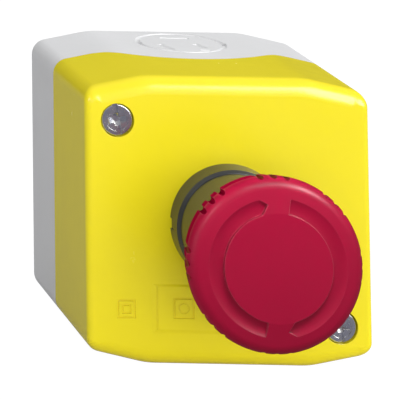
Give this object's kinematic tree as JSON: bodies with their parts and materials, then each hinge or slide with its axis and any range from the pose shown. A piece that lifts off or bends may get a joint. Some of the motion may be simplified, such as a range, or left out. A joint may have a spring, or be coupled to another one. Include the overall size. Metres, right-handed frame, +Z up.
{
  "type": "emergency stop button station",
  "caption": "Wall-mounted emergency stop station: red turn-to-release mushroom button on a yellow cover over a grey rear housing with contact blocks.",
  "frame": {"origin": "centre of the rear housing's flat back, on the wall plane", "axes": "+Y points into the wall, out of the back; the button faces -Y; +Z is up; +X is to the right seen from the front. The operator's axis is the Y axis."},
  "size_m": [0.068, 0.091, 0.068],
  "materials": {
    "grey_shell": "light grey moulded plastic, satin gloss",
    "yellow_shell": "signal yellow moulded plastic, gloss",
    "red_cap": "signal red moulded plastic, gloss",
    "dark_plastic": "black to dark grey glass-filled plastic, satin",
    "light_plastic": "pale grey plastic, satin",
    "spindle_plastic": "natural acetal, satin",
    "black_rubber": "moulded rubber, matt",
    "zinc_steel": "zinc plated steel",
    "spring_steel": "drawn spring wire",
    "copper_alloy": "bare brass strip",
    "silver": "silver alloy rivets",
    "nc_plunger_red": "red moulded plastic",
    "no_plunger_green": "green moulded plastic"
  },
  "bodies": {
    "base": {"rear_housing": "grey_shell", "nc_block_housing": "dark_plastic", "nc_block_cover": "light_plastic", "nc_fixed_contacts": "copper_alloy", "nc_fixed_rivets": "silver", "nc_plunger_spring": "spring_steel", "no_block_housing": "dark_plastic", "no_block_cover": "light_plastic", "no_fixed_contacts": "copper_alloy", "no_fixed_rivets": "silver", "no_plunger_spring": "spring_steel", "terminal_screws": "zinc_steel", "terminal_clamps": "zinc_steel"},
    "cover": {"front_cover": "yellow_shell", "cover_gasket": "black_rubber", "cover_screws": "zinc_steel", "cover_screw_seals": "black_rubber", "operator_body": "dark_plastic", "panel_seal": "black_rubber", "fixing_nut": "dark_plastic", "latch_clip": "spring_steel", "stem_seal": "black_rubber", "reset_spring": "spring_steel"},
    "pusher": {"pusher_sleeve": "dark_plastic", "push_pad": "light_plastic", "thrust_washer": "zinc_steel", "twist_spring": "spring_steel"},
    "mushroom": {"mushroom_cap": "red_cap", "spindle": "spindle_plastic", "spindle_circlip": "zinc_steel", "cap_retaining_clip": "zinc_steel"},
    "nc_contact": {"nc_plunger": "nc_plunger_red", "nc_bridge_contact": "copper_alloy", "nc_bridge_rivets": "silver"},
    "no_contact": {"no_plunger": "no_plunger_green", "no_bridge_contact": "copper_alloy", "no_bridge_rivets": "silver"}
  },
  "joints": [
    {"name": "cover_lift", "type": "slide", "parent": "base", "child": "cover", "axis": [0, -1, 0], "range_m": [0, 0.06]},
    {"name": "mushroom_push", "type": "slide", "parent": "cover", "child": "pusher", "axis": [0, 1, 0], "range_m": [0, 0.005], "deforming": ["reset_spring"]},
    {"name": "mushroom_twist", "type": "hinge", "parent": "pusher", "child": "mushroom", "pos_m": [0, 0, 0], "axis": [0, 1, 0], "range_deg": [0, 45]},
    {"name": "nc_contact_slide", "type": "slide", "parent": "base", "child": "nc_contact", "axis": [0, 1, 0], "range_m": [0, 0.005], "deforming": ["nc_plunger_spring"]},
    {"name": "no_contact_slide", "type": "slide", "parent": "base", "child": "no_contact", "axis": [0, 1, 0], "range_m": [0, 0.005], "deforming": ["no_plunger_spring"]}
  ],
  "couplings": [
    {"joint": "nc_contact_slide", "follows": "mushroom_push", "ratio": 1},
    {"joint": "no_contact_slide", "follows": "mushroom_push", "ratio": 1}
  ]
}
